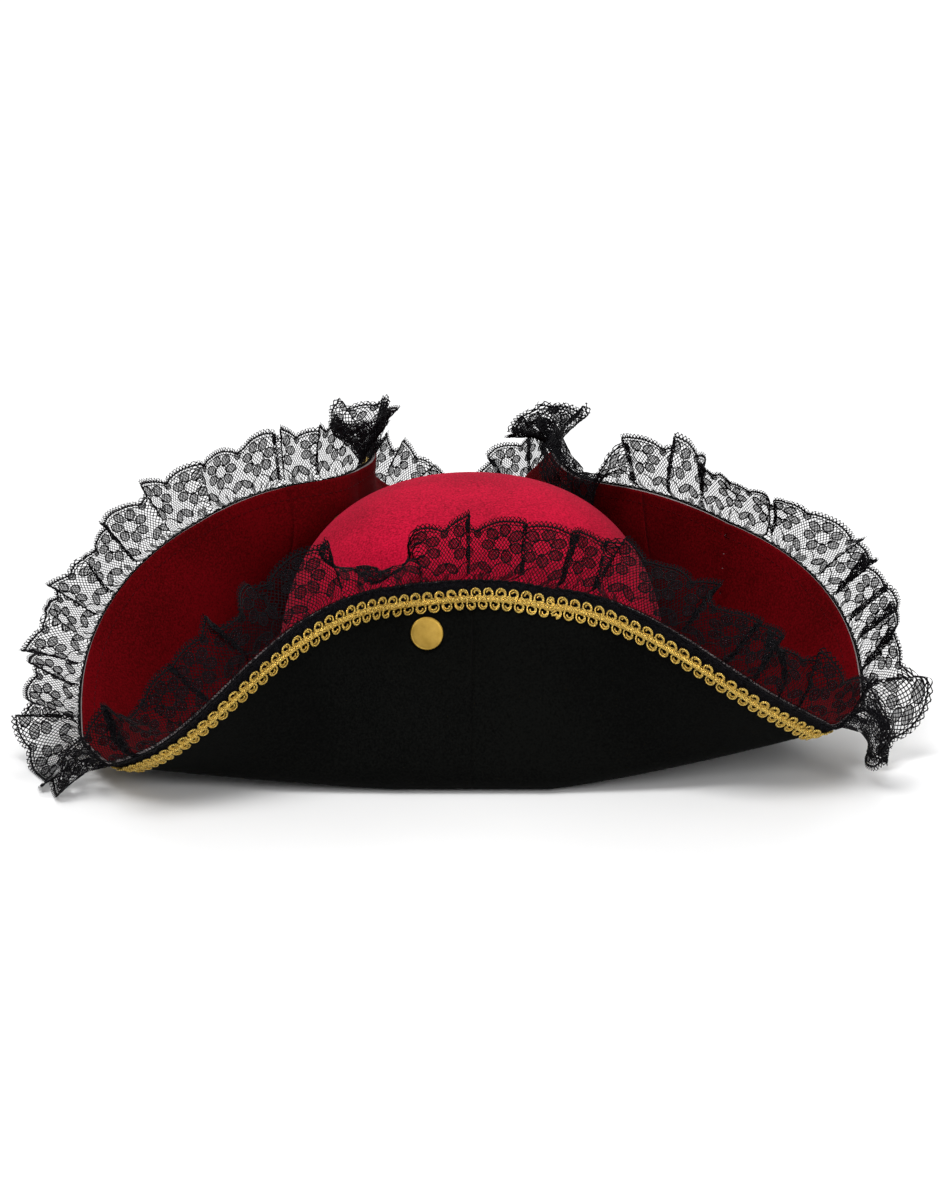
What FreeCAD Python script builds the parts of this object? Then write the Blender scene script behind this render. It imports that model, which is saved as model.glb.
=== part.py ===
"""Ladies' pirate hat (tricorn): domed crown, three turned-up brim flaps, gimp braid, lace and press studs.

Frame: +X right, +Y back, +Z up, in millimetres. The origin is the centre of the head opening, on the
plane that the flat underside of the brim rests on.

The brim is described as a flat oval pattern in polar form: an azimuth in degrees and a radius. The
function brim_point() turns the pattern up into the three flaps. Offsets are measured from the black
underside towards the crimson upper face.
"""
import math
import os

import FreeCAD
import Part

Vector = FreeCAD.Vector

# ---- crown -------------------------------------------------------------------------------------------
CROWN_HALF_WIDTH = 93.0
CROWN_HALF_LENGTH = 102.0
CROWN_HEIGHT = 105.0
CROWN_POWER = 2.6          # 2 is an ellipsoid, larger is squarer at the shoulder
CROWN_CLOTH = 0.8
CROWN_SHELL = 1.8
CROWN_LINING = 0.5
SWEATBAND_THICKNESS = 1.2
SWEATBAND_HEIGHT = 30.0
OPENING_GAP = 0.6          # between the crown wall and the inner edge of the brim

# ---- brim pattern ------------------------------------------------------------------------------------
BRIM_HALF_WIDTH = 192.4
BRIM_FRONT = 220.7
BRIM_BACK = 214.9
UNDER_CLOTH = 0.6
CORE = 1.4
UPPER_CLOTH = 0.6
BEND_RADIUS = 12.0
SPLIT_FRACTION = 0.8       # how far round the bend a flap is parted from the base
PART_GAP = 0.2             # on each side of the parting line
PARTING_CAP = 181.0        # radius of the parting line in the corners
PARTING_BLEND = 40.0       # sharpness of the change between the two
LEAN_REACH = 160.0         # distance along a fold at which the end lean is reached
FLARE_REACH = 172.0

# ---- corner lift -------------------------------------------------------------------------------------
LIFT_START = 90.0
LIFT_REACH = 110.0
LIFT_POWER = 1.25
CORNERS = {
    "front_right": {"azimuth": -30.0, "lift": 28.7},
    "rear": {"azimuth": 90.0, "lift": 20.8},
    "front_left": {"azimuth": 210.0, "lift": 11.2},
}

# ---- flaps -------------------------------------------------------------------------------------------
# lean is the final angle of the sheet above horizontal: at the pinch, and at the clockwise and
# anticlockwise ends of the fold. stud is the press stud's place: along the fold, and in from the edge.
FLAPS = {
    "front": {"azimuth": -90.0, "fold": 117.3, "flare": 0.0, "cut": 47.0, "pinch": -10.6,
              "lean": 110.8, "lean_cw": 32.7, "lean_acw": 47.6, "stud": (-20.0, 22.0), "dimple": 13.0},
    "right": {"azimuth": 30.0, "fold": 99.3, "flare": 8.0, "cut": 52.0, "pinch": 50.4,
              "lean": 105.9, "lean_cw": 52.2, "lean_acw": 72.4, "stud": (30.0, 22.0), "dimple": 6.0},
    "left": {"azimuth": 150.0, "fold": 99.3, "flare": 8.0, "cut": 52.0, "pinch": -55.7,
             "lean": 100.6, "lean_cw": 41.4, "lean_acw": 42.5, "stud": (-22.0, 22.0), "dimple": 12.5},
}
DIMPLE_WIDTH = 16.0
DIMPLE_FLAT = 16.0         # radius over which the middle of a dimple is flattened for its stud

# ---- trim --------------------------------------------------------------------------------------------
GIMP_INSET = 3.5
GIMP_WIDTH = 9.5
GIMP_THICKNESS = 1.6
LACE_HEADING = 8.0
LACE_REACH = 30.0
LACE_THICKNESS = 0.45
TRIM_GAP = 0.4             # between the cloth, the lace and the gimp
TRIM_END_GAP = 0.6         # at each end of a length of lace or gimp
SEW_GAP = 0.05             # between the thirds of the base ring

# ---- press studs -------------------------------------------------------------------------------------
CAP_RADIUS = 7.5
CAP_RIM = 0.8
CAP_DOME = 1.6
CAP_LIFT = 0.7             # of the rim from the cloth, which is drawn in a little round the rivet
RIVET_RADIUS = 1.5
SOCKET_RADIUS = 6.2
SOCKET_HEIGHT = 2.6
SOCKET_BORE = 2.7
STUD_FLANGE_RADIUS = 5.0
STUD_NOSE_RADIUS = 1.9
STUD_NOSE = 1.2
STUD_CLEARANCE = 0.5
STUD_FLANGE = 1.0
STUD_SHANK_RADIUS = 2.4
STUD_FOOT_GAP = 1.1
POST_RADIUS = 1.6
WASHER_RADIUS = 4.0
WASHER_GAP = 1.8
WASHER_THICKNESS = 0.8


def direction(azimuth):
    """Unit vector in the ground plane at an azimuth in degrees."""
    return math.cos(math.radians(azimuth)), math.sin(math.radians(azimuth))


def brim_radius(azimuth):
    """Radius of the brim's edge in the flat pattern: two half ellipses of one width."""
    cosine, sine = direction(azimuth)
    length = BRIM_BACK if sine > 0 else BRIM_FRONT
    return 1.0 / math.hypot(cosine / BRIM_HALF_WIDTH, sine / length)


def opening_radius(azimuth):
    """Radius of the head opening in the brim."""
    cosine, sine = direction(azimuth)
    wide = CROWN_HALF_WIDTH + OPENING_GAP
    long = CROWN_HALF_LENGTH + OPENING_GAP
    return 1.0 / math.hypot(cosine / wide, sine / long)


def base_lift(x, y):
    """Height of the unfolded base, and its gradient, where it rises towards the three corners."""
    height = slope_x = slope_y = 0.0
    for corner in CORNERS.values():
        cx, cy = direction(corner["azimuth"])
        t = (x * cx + y * cy - LIFT_START) / LIFT_REACH
        if t > 0:
            height += corner["lift"] * t ** LIFT_POWER
            steep = corner["lift"] * LIFT_POWER * t ** (LIFT_POWER - 1) / LIFT_REACH
            slope_x += steep * cx
            slope_y += steep * cy
    return height, slope_x, slope_y


def flap_at(azimuth):
    """The flap whose fold faces this azimuth, and the azimuth measured from its middle."""
    best = min(FLAPS.values(), key=lambda f: abs((azimuth - f["azimuth"] + 180) % 360 - 180))
    return best, (azimuth - best["azimuth"] + 180) % 360 - 180


def fold_distance(flap, along):
    """Distance of the fold from the centre, which grows a little towards the corners."""
    return flap["fold"] + flap["flare"] * (along / FLARE_REACH) ** 4


def lean_angle(flap, along):
    """Final angle of the turned-up sheet, in radians."""
    if along > flap["pinch"]:
        end, u = flap["lean_acw"], (along - flap["pinch"]) / (LEAN_REACH - flap["pinch"])
    else:
        end, u = flap["lean_cw"], (flap["pinch"] - along) / (LEAN_REACH + flap["pinch"])
    share = max(1 - u * u, 0.0) ** 2
    return math.radians(end + (flap["lean"] - end) * share)


def bend_length(flap, along):
    """Length of the curved part of the sheet, with the slope of the base where the bend starts."""
    nx, ny = direction(flap["azimuth"])
    fold = fold_distance(flap, along)
    lift, slope_x, slope_y = base_lift(nx * fold - ny * along, ny * fold + nx * along)
    start = math.atan(slope_x * nx + slope_y * ny)
    return max(BEND_RADIUS * (lean_angle(flap, along) - start), 1.0), start, lift


def stud_place(flap):
    """Place of the press stud along the fold, and beyond it in the sheet."""
    along, inset = flap["stud"]
    azimuth = flap["azimuth"]
    turn = 0.0
    for _ in range(20):
        reach = brim_radius(azimuth + turn) * math.cos(math.radians(turn))
        turn = math.degrees(math.atan2(along, reach))
    return along, reach - fold_distance(flap, along) - inset


def sheet_point(flap, along, beyond):
    """Underside of the turned-up sheet: along the fold, and beyond it in the flat pattern."""
    nx, ny = direction(flap["azimuth"])
    arc, start, lift = bend_length(flap, along)
    angle = start + min(beyond, arc) / BEND_RADIUS
    straight = max(beyond - arc, 0.0)
    out = BEND_RADIUS * (math.sin(angle) - math.sin(start)) + straight * math.cos(angle)
    up = BEND_RADIUS * (math.cos(start) - math.cos(angle)) + straight * math.sin(angle)
    stud_along, stud_beyond = flap["stud_place"]
    away = (along - stud_along) ** 2 + (beyond - stud_beyond) ** 2
    away = away * away / (away + DIMPLE_FLAT ** 2)
    dimple = flap["dimple"] * math.exp(-away / (2 * DIMPLE_WIDTH ** 2))
    out += fold_distance(flap, along) - dimple * math.sin(angle)
    up += lift + dimple * math.cos(angle)
    return Vector(nx * out - ny * along, ny * out + nx * along, up)


def brim_point(azimuth, radius):
    """Underside of the brim in space, from the flat pattern."""
    flap, turn = flap_at(azimuth)
    across = radius * math.cos(math.radians(turn))
    along = radius * math.sin(math.radians(turn))
    beyond = across - fold_distance(flap, along)
    if beyond > 0:
        return sheet_point(flap, along, beyond)
    cosine, sine = direction(azimuth)
    x, y = radius * cosine, radius * sine
    return Vector(x, y, base_lift(x, y)[0])


def brim_normal(azimuth, radius):
    """Unit normal of the brim, on the side of the crimson face."""
    step = 0.2
    turn = math.degrees(step / radius)
    outward = brim_point(azimuth, radius + step) - brim_point(azimuth, radius - step)
    sideways = brim_point(azimuth + turn, radius) - brim_point(azimuth - turn, radius)
    return outward.cross(sideways).normalize()


def layer_point(azimuth, radius, offset):
    """Point of the laminate at an offset from the underside."""
    return brim_point(azimuth, radius) + brim_normal(azimuth, radius) * offset


def split_radius(azimuth):
    """Radius in the flat pattern at which a flap is parted from the base."""
    flap, turn = flap_at(azimuth)
    tangent = math.tan(math.radians(turn))
    beyond = 0.0
    for _ in range(12):
        along = (flap["fold"] + beyond) * tangent
        beyond = SPLIT_FRACTION * bend_length(flap, along)[0]
        beyond += fold_distance(flap, along) - flap["fold"]
    return (flap["fold"] + beyond) / math.cos(math.radians(turn))


def parting_radius(azimuth):
    """Radius of the parting line: near the end of the bend in a flap, a smooth cap in the corners."""
    flap, turn = flap_at(azimuth)
    if abs(turn) > 57:
        return PARTING_CAP
    power = -PARTING_BLEND
    return (split_radius(azimuth) ** power + PARTING_CAP ** power) ** (1 / power)


def spread(first, last, count):
    """Evenly spaced values, both ends included."""
    return [first + (last - first) * i / (count - 1) for i in range(count)]


def surface(grid):
    """Smooth surface through a grid of points."""
    skin = Part.BSplineSurface()
    skin.interpolate(grid)
    return skin


def slab(lower_grid, upper_grid):
    """Closed solid between two surfaces given as point grids of the same size."""
    lower = surface(lower_grid)
    upper = surface(upper_grid)
    u0, u1, v0, v1 = lower.bounds()
    rims = [
        (lower.uIso(u0), upper.uIso(u0)),
        (lower.uIso(u1), upper.uIso(u1)),
        (lower.vIso(v0), upper.vIso(v0)),
        (lower.vIso(v1), upper.vIso(v1)),
    ]
    faces = [lower.toShape(), upper.toShape()]
    faces += [Part.makeRuledSurface(a.toShape(), b.toShape(), 1) for a, b in rims]
    return closed(faces)


def closed(faces):
    """Solid from faces that meet all round."""
    shell = Part.makeShell(faces)
    shell.sewShape()
    solid = Part.makeSolid(shell)
    if solid.Volume < 0:
        solid.reverse()
    return solid


def band(azimuths, radii, low, high):
    """Solid strip of the brim pattern between two offsets. radii(azimuth) lists the radii of a row."""
    grids = []
    for offset in (low, high):
        rows = []
        for azimuth in azimuths:
            rows.append([layer_point(azimuth, radius, offset) for radius in radii(azimuth)])
        grids.append(rows)
    return slab(*grids)


def base_ring(low, high):
    """Laminate layer of the base: from the head opening, through the folds, to the parting line."""
    def radii(azimuth):
        inner = opening_radius(azimuth)
        outer = parting_radius(azimuth) - PART_GAP
        return spread(inner, outer, 14)

    swing = math.degrees(SEW_GAP / CROWN_HALF_WIDTH) / 2
    thirds = []
    for start in (-30, 90, 210):
        thirds.append(band(spread(start + swing, start + 120 - swing, 61), radii, low, high))
    return Part.makeCompound(thirds)


def corner_layer(name, low, high):
    """Laminate layer of a corner, beyond the base ring."""
    start, stop = corner_span(name)

    def radii(azimuth):
        return spread(parting_radius(azimuth) + 2 * PART_GAP, brim_radius(azimuth), 12)

    swing = math.degrees(PART_GAP / BRIM_HALF_WIDTH)
    return band(spread(start + swing, stop - swing, 33), radii, low, high)


def flap_layer(name, low, high):
    """Laminate layer of a flap, parted from the base all round."""
    flap = FLAPS[name]
    half = flap["cut"] - math.degrees(PART_GAP / BRIM_HALF_WIDTH)

    def radii(azimuth):
        inner = parting_radius(azimuth) + PART_GAP
        edge = brim_radius(azimuth)
        return spread(inner, edge, 25)

    return band(spread(flap["azimuth"] - half, flap["azimuth"] + half, 61), radii, low, high)


def corner_span(name):
    """Azimuths between which a corner belongs to the base."""
    middle = CORNERS[name]["azimuth"]
    low = max(f["azimuth"] + f["cut"] - 360 * (f["azimuth"] > middle) for f in FLAPS.values())
    high = min(f["azimuth"] - f["cut"] + 360 * (f["azimuth"] < middle) for f in FLAPS.values())
    return low, high


def trim_azimuths(low, high, step):
    """Azimuths of a trim length, parted by the gap at both ends."""
    swing = math.degrees(TRIM_END_GAP / brim_radius((low + high) / 2))
    count = int((high - low) / step) + 2
    return spread(low + swing, high - swing, count)


def gimp_length(low, high):
    """Length of gimp braid on the black face, just in from the edge."""
    def radii(azimuth):
        outer = brim_radius(azimuth) - GIMP_INSET
        return spread(outer - GIMP_WIDTH, outer, 5)

    face = -(LACE_THICKNESS + 2 * TRIM_GAP)
    return band(trim_azimuths(low, high, 1.2), radii, face - GIMP_THICKNESS, face)


def lace_length(low, high):
    """Length of gathered lace: its heading on the black face, its ruffle beyond the edge."""
    def radii(azimuth):
        edge = brim_radius(azimuth)
        return spread(edge - LACE_HEADING, edge + LACE_REACH, 16)

    return band(trim_azimuths(low, high, 1.2), radii, -TRIM_GAP - LACE_THICKNESS, -TRIM_GAP)


def dome(half_width, half_length, height, low):
    """Solid dome with a super-elliptic profile, cut off flat at its foot."""
    points = []
    for i in range(25):
        angle = math.pi / 2 * i / 24
        points.append(Vector(math.cos(angle) ** (2 / CROWN_POWER), 0, math.sin(angle) ** (2 / CROWN_POWER)))
    points[-1] = Vector(0, 0, 1)
    profile = Part.BSplineCurve()
    profile.interpolate(Points=points, InitialTangent=Vector(0, 0, 1), FinalTangent=Vector(-1, 0, 0))
    foot = Vector(1, 0, -0.01)
    edges = [
        profile.toShape(),
        Part.makeLine(points[-1], Vector(0, 0, -0.01)),
        Part.makeLine(Vector(0, 0, -0.01), foot),
        Part.makeLine(foot, points[0]),
    ]
    solid = Part.Face(Part.Wire(edges)).revolve(Vector(0, 0, 0), Vector(0, 0, 1), 360)
    stretch = FreeCAD.Matrix()
    stretch.scale(half_width, half_length, height)
    solid = solid.transformGeometry(stretch)
    block = Part.makeBox(400, 400, 300, Vector(-200, -200, low))
    return solid.common(block)


def crown_layer(outer, inner, low):
    """Crown layer between two depths below the outside surface."""
    sizes = (CROWN_HALF_WIDTH, CROWN_HALF_LENGTH, CROWN_HEIGHT)
    outside = dome(*[size - outer for size in sizes], low)
    inside = dome(*[size - inner for size in sizes], low - 0.3)
    return outside.cut(inside)


def crown_level(point):
    """Below 1 inside the crown's outside surface, 1 on it."""
    plan = math.hypot(point.x / CROWN_HALF_WIDTH, point.y / CROWN_HALF_LENGTH)
    return plan ** CROWN_POWER + max(point.z / CROWN_HEIGHT, 0.0) ** CROWN_POWER


def stud_axis(flap):
    """Point on the black face, inward unit direction, and distance to the crown, at the press stud."""
    along, beyond = flap["stud_place"]
    radius = math.hypot(fold_distance(flap, along) + beyond, along)
    turn = math.degrees(math.atan2(along, fold_distance(flap, along) + beyond))
    origin = brim_point(flap["azimuth"] + turn, radius)
    inward = brim_normal(flap["azimuth"] + turn, radius)
    near, far = 0.0, 60.0
    for _ in range(40):
        middle = (near + far) / 2
        if crown_level(origin + inward * middle) > 1:
            near = middle
        else:
            far = middle
    return origin, inward, near


def turned(profile, origin, axis):
    """Turned part from a closed profile of (radius, height) points, set on an axis."""
    points = [Vector(radius, 0, height) for radius, height in profile]
    face = Part.Face(Part.makePolygon(points + points[:1]))
    solid = face.revolve(Vector(0, 0, 0), Vector(0, 0, 1), 360)
    solid.Placement = FreeCAD.Placement(origin, FreeCAD.Rotation(Vector(0, 0, 1), axis))
    return solid


def press_stud(name):
    """The four parts of a press stud, each on the axis from the flap to the crown."""
    origin, inward, gap = stud_axis(FLAPS[name])
    stack = UNDER_CLOTH + CORE + UPPER_CLOTH
    rim = -CAP_LIFT - CAP_RIM
    cap = [(0, rim - CAP_DOME)]
    for angle in spread(78, 12, 7):
        a = math.radians(angle)
        cap.append((CAP_RADIUS * math.cos(a), rim - CAP_DOME * math.sin(a)))
    cap += [
        (CAP_RADIUS, rim), (CAP_RADIUS, -CAP_LIFT), (RIVET_RADIUS, -CAP_LIFT),
        (RIVET_RADIUS, stack - 0.1), (0, stack - 0.1),
    ]
    face = stack + 0.3
    top = face + SOCKET_HEIGHT
    rim = 0.7
    socket = [
        (RIVET_RADIUS + 0.2, face), (SOCKET_RADIUS, face), (SOCKET_RADIUS, top - rim),
        (SOCKET_RADIUS - rim, top), (SOCKET_BORE, top), (SOCKET_BORE, face + 0.8),
        (RIVET_RADIUS + 0.2, face + 0.8),
    ]
    base = top + STUD_CLEARANCE
    foot = gap - STUD_FOOT_GAP
    stud = [
        (0, top - STUD_NOSE + STUD_CLEARANCE), (STUD_NOSE_RADIUS - 0.5, top - STUD_NOSE + STUD_CLEARANCE),
        (STUD_NOSE_RADIUS, top - STUD_NOSE + STUD_CLEARANCE + 0.5), (STUD_NOSE_RADIUS, base),
        (STUD_FLANGE_RADIUS - 0.6, base), (STUD_FLANGE_RADIUS, base + 0.6),
        (STUD_FLANGE_RADIUS, base + STUD_FLANGE), (STUD_SHANK_RADIUS, base + STUD_FLANGE),
        (STUD_SHANK_RADIUS, foot), (0, foot),
    ]
    inside = gap + (CROWN_CLOTH + CROWN_SHELL + CROWN_LINING) * 1.12 + WASHER_GAP
    post = [
        (0, foot + 0.1), (POST_RADIUS, foot + 0.1), (POST_RADIUS, inside), (WASHER_RADIUS, inside),
        (WASHER_RADIUS, inside + WASHER_THICKNESS), (0, inside + WASHER_THICKNESS),
    ]
    hole = [(0, -3), (RIVET_RADIUS + 0.15, -3), (RIVET_RADIUS + 0.15, 6), (0, 6)]
    bore = [(0, gap - 4), (POST_RADIUS + 0.15, gap - 4), (POST_RADIUS + 0.15, gap + 12), (0, gap + 12)]
    return {key: turned(value, origin, inward) for key, value in (
        ("cap", cap), ("socket", socket), ("stud", stud), ("post", post), ("hole", hole), ("bore", bore))}


def build():
    """All nodes of the hat, by name."""
    for flap in FLAPS.values():
        flap["stud_place"] = stud_place(flap)
    studs = {name: press_stud(name) for name in FLAPS}
    bores = [parts["bore"] for parts in studs.values()]
    nodes = {}

    depth_shell = CROWN_CLOTH
    depth_lining = depth_shell + CROWN_SHELL
    depth_inside = depth_lining + CROWN_LINING
    nodes["crown_cloth"] = crown_layer(0, depth_shell, 0).cut(bores)
    nodes["crown_shell"] = crown_layer(depth_shell, depth_lining, 0).cut(bores)
    nodes["crown_lining"] = crown_layer(depth_lining, depth_inside, 0).cut(bores)
    band_top = Part.makeBox(400, 400, SWEATBAND_HEIGHT, Vector(-200, -200, 0))
    nodes["sweatband"] = crown_layer(depth_inside, depth_inside + SWEATBAND_THICKNESS, 0)
    nodes["sweatband"] = nodes["sweatband"].common(band_top)

    layers = {
        "under_cloth": (0, UNDER_CLOTH),
        "core": (UNDER_CLOTH, UNDER_CLOTH + CORE),
        "upper_cloth": (UNDER_CLOTH + CORE, UNDER_CLOTH + CORE + UPPER_CLOTH),
    }
    for layer, (low, high) in layers.items():
        nodes["brim_" + layer] = base_ring(low, high)
        for name in CORNERS:
            nodes["corner_" + name + "_" + layer] = corner_layer(name, low, high)
        for name in FLAPS:
            nodes["flap_" + name + "_" + layer] = flap_layer(name, low, high).cut(studs[name]["hole"])

    for name, flap in FLAPS.items():
        low, high = flap["azimuth"] - flap["cut"], flap["azimuth"] + flap["cut"]
        nodes["flap_" + name + "_gimp"] = gimp_length(low, high)
        nodes["flap_" + name + "_lace"] = lace_length(low, high)
        nodes["cap_" + name] = studs[name]["cap"]
        nodes["socket_" + name] = studs[name]["socket"]
        nodes["stud_" + name] = studs[name]["stud"]
        nodes["post_" + name] = studs[name]["post"]
    for name in CORNERS:
        low, high = corner_span(name)
        nodes["corner_" + name + "_gimp"] = gimp_length(low, high)
        nodes["corner_" + name + "_lace"] = lace_length(low, high)
    return nodes


os.makedirs("parts", exist_ok=True)
for node, shape in build().items():
    solids = shape.Solids
    state = "valid" if shape.isValid() else "NOT VALID"
    print(node, len(solids), "solids", round(shape.Volume, 1), "mm3", state)
    if len(solids) == 1:
        shape = solids[0]
    shape.exportStep("parts/" + node + ".step")
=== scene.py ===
"""Looks of the ladies' pirate hat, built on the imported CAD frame. Lengths in the formulas are millimetres."""
import math
import random

import bpy
import numpy as np
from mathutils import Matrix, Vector


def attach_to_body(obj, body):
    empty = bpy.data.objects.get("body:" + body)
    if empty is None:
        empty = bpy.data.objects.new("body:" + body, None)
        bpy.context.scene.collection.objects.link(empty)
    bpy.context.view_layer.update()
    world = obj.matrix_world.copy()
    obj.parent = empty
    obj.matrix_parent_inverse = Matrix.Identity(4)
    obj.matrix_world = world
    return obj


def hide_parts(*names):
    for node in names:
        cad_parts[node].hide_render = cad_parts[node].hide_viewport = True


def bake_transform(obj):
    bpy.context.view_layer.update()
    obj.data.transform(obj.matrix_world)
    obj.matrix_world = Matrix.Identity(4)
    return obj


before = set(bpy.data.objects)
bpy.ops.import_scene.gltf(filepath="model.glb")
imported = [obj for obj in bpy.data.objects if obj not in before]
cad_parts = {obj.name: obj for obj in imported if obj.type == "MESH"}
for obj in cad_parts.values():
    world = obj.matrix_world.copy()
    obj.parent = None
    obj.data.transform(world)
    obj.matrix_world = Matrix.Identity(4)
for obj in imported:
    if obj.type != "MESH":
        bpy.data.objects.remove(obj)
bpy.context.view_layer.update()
MM = 0.001

# ---- the brim's shape, as in the CAD source ------------------------------------------------------------
BRIM_HALF_WIDTH, BRIM_FRONT, BRIM_BACK = 192.4, 220.7, 214.9
OPENING_HALF_WIDTH, OPENING_HALF_LENGTH = 93.6, 102.6
CROWN_HALF_WIDTH, CROWN_HALF_LENGTH, CROWN_HEIGHT, CROWN_POWER = 93.0, 102.0, 105.0, 2.6
BEND_RADIUS, LEAN_REACH, FLARE_REACH, DIMPLE_WIDTH, DIMPLE_FLAT = 12.0, 160.0, 172.0, 16.0, 16.0
LIFT_START, LIFT_REACH, LIFT_POWER = 90.0, 110.0, 1.25
THICKNESS = 2.6
CORNERS = {
    "front_right": {"azimuth": -30.0, "lift": 28.7},
    "rear": {"azimuth": 90.0, "lift": 20.8},
    "front_left": {"azimuth": 210.0, "lift": 11.2},
}
FLAPS = {
    "front": {"azimuth": -90.0, "fold": 117.3, "flare": 0.0, "pinch": -10.6,
              "lean": 110.8, "lean_cw": 32.7, "lean_acw": 47.6, "stud": (-20.0, 22.0), "dimple": 13.0},
    "right": {"azimuth": 30.0, "fold": 99.3, "flare": 8.0, "pinch": 50.4,
              "lean": 105.9, "lean_cw": 52.2, "lean_acw": 72.4, "stud": (30.0, 22.0), "dimple": 6.0},
    "left": {"azimuth": 150.0, "fold": 99.3, "flare": 8.0, "pinch": -55.7,
             "lean": 100.6, "lean_cw": 41.4, "lean_acw": 42.5, "stud": (-22.0, 22.0), "dimple": 12.5},
}
# each half of a flap: the flap, the side towards which it runs (1 is anticlockwise), and its corner
HALVES = [
    ("front", 1, "front_right"), ("front", -1, "front_left"),
    ("right", -1, "front_right"), ("right", 1, "rear"),
    ("left", -1, "rear"), ("left", 1, "front_left"),
]

# ---- grids: steps round a half flap, and across it -------------------------------------------------------
BRIM_STEPS, BRIM_ROWS = 97, 73
LINE_STEPS = 900           # along a row of stitches, a braid or a lace
LACE_ROWS = 27
HALF_SPAN = 60.0           # degrees of brim in a half flap

# ---- trim ----------------------------------------------------------------------------------------------
STITCH_INSET, STITCH_PITCH, STITCH_RADIUS = 6.2, 3.4, 0.2
GIMP_MIDDLE = 7.8          # in from the edge
GIMP_PITCH = 5.9           # from loop to loop
GIMP_LOOP = 2.05           # radius of a loop
GIMP_ROW = 2.55            # from the middle of the braid to the middle of a row of loops
GIMP_FOOT = 0.75           # height of the lowest cords over the cloth
GIMP_OVERRUN = 1.5         # degrees by which the braid's line goes on past a half flap
MEAN_EDGE_RADIUS = 205.0   # turns degrees of brim into millimetres of lace
LACE_HEADING = 8.0
LACE_WIDTH = 38.0
LACE_PERIOD = 21.0
LACE_DEPTH = 4.0           # of the scallops
NET_SLOPE, NET_TURNS = 0.62, 4.3
LACE_FRINGE = 2.4          # net beyond the corded edge
FLOWER_HEIGHT = 25.5       # of a flower's middle across the lace
PETALS = 7
PETAL_RING, PETAL_LONG, PETAL_WIDE, FLOWER_EYE = 6.3, 2.55, 2.25, 3.4
LEAF_INSET, LEAF_HEIGHT, LEAF_LONG, LEAF_WIDE = 2.6, 14.6, 3.6, 1.7
LEAF_ALONG, LEAF_UP = 0.75, 0.66
BUD_HEIGHT, BUD_WIDE, BUD_LONG = 31.0, 1.5, 1.9
EDGE_CORD, INNER_CORD, MOTIF_CORD = 0.42, 0.24, 0.28


def direction(azimuth):
    a = np.radians(azimuth)
    return np.cos(a), np.sin(a)


def oval_radius(azimuth, width, front, back):
    cosine, sine = direction(azimuth)
    return 1.0 / np.hypot(cosine / width, sine / np.where(sine > 0, back, front))


def edge_radius(azimuth):
    return oval_radius(azimuth, BRIM_HALF_WIDTH, BRIM_FRONT, BRIM_BACK)


def opening_radius(azimuth):
    return oval_radius(azimuth, OPENING_HALF_WIDTH, OPENING_HALF_LENGTH, OPENING_HALF_LENGTH)


def base_lift(x, y):
    height, slope_x, slope_y = 0.0 * x, 0.0 * x, 0.0 * x
    for corner in CORNERS.values():
        cx, cy = direction(corner["azimuth"])
        t = np.maximum((x * cx + y * cy - LIFT_START) / LIFT_REACH, 1e-9)
        height = height + corner["lift"] * t ** LIFT_POWER
        steep = corner["lift"] * LIFT_POWER * t ** (LIFT_POWER - 1) / LIFT_REACH * (t > 1e-8)
        slope_x, slope_y = slope_x + steep * cx, slope_y + steep * cy
    return height, slope_x, slope_y


def fold_distance(flap, along):
    return flap["fold"] + flap["flare"] * (along / FLARE_REACH) ** 4


def lean_angle(flap, along):
    pinch = flap["pinch"]
    ahead = along > pinch
    end = np.where(ahead, flap["lean_acw"], flap["lean_cw"])
    u = np.where(ahead, (along - pinch) / (LEAN_REACH - pinch), (pinch - along) / (LEAN_REACH + pinch))
    return np.radians(end + (flap["lean"] - end) * np.maximum(1 - u * u, 0.0) ** 2)


def stud_place(flap):
    along, inset = flap["stud"]
    turn = 0.0
    for _ in range(20):
        reach = edge_radius(flap["azimuth"] + turn) * math.cos(math.radians(turn))
        turn = math.degrees(math.atan2(along, reach))
    return along, float(reach - fold_distance(flap, along) - inset)


for flap in FLAPS.values():
    flap["stud_place"] = stud_place(flap)


def brim_point(flap, azimuth, radius):
    """Black underside of the brim: arrays of points, in millimetres."""
    nx, ny = direction(flap["azimuth"])
    turn = np.radians(azimuth - flap["azimuth"])
    across, along = radius * np.cos(turn), radius * np.sin(turn)
    fold = fold_distance(flap, along)
    beyond = across - fold
    fx, fy = nx * fold - ny * along, ny * fold + nx * along
    lift, slope_x, slope_y = base_lift(fx, fy)
    start = np.arctan(slope_x * nx + slope_y * ny)
    arc = np.maximum(BEND_RADIUS * (lean_angle(flap, along) - start), 1.0)
    angle = start + np.clip(beyond, 0, arc) / BEND_RADIUS
    straight = np.maximum(beyond - arc, 0.0)
    out = BEND_RADIUS * (np.sin(angle) - np.sin(start)) + straight * np.cos(angle)
    up = BEND_RADIUS * (np.cos(start) - np.cos(angle)) + straight * np.sin(angle)
    stud_along, stud_beyond = flap["stud_place"]
    away = (along - stud_along) ** 2 + (beyond - stud_beyond) ** 2
    away = away * away / (away + DIMPLE_FLAT ** 2)
    dimple = flap["dimple"] * np.exp(-away / (2 * DIMPLE_WIDTH ** 2))
    out = out + fold - dimple * np.sin(angle)
    up = up + lift + dimple * np.cos(angle)
    raised = np.stack([nx * out - ny * along, ny * out + nx * along, up], -1)
    cosine, sine = direction(azimuth)
    x, y = radius * cosine, radius * sine
    flat = np.stack([x, y, base_lift(x, y)[0]], -1)
    return np.where((beyond > 0)[..., None], raised, flat)


def unit(vectors):
    return vectors / np.maximum(np.linalg.norm(vectors, axis=-1, keepdims=True), 1e-9)


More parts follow.
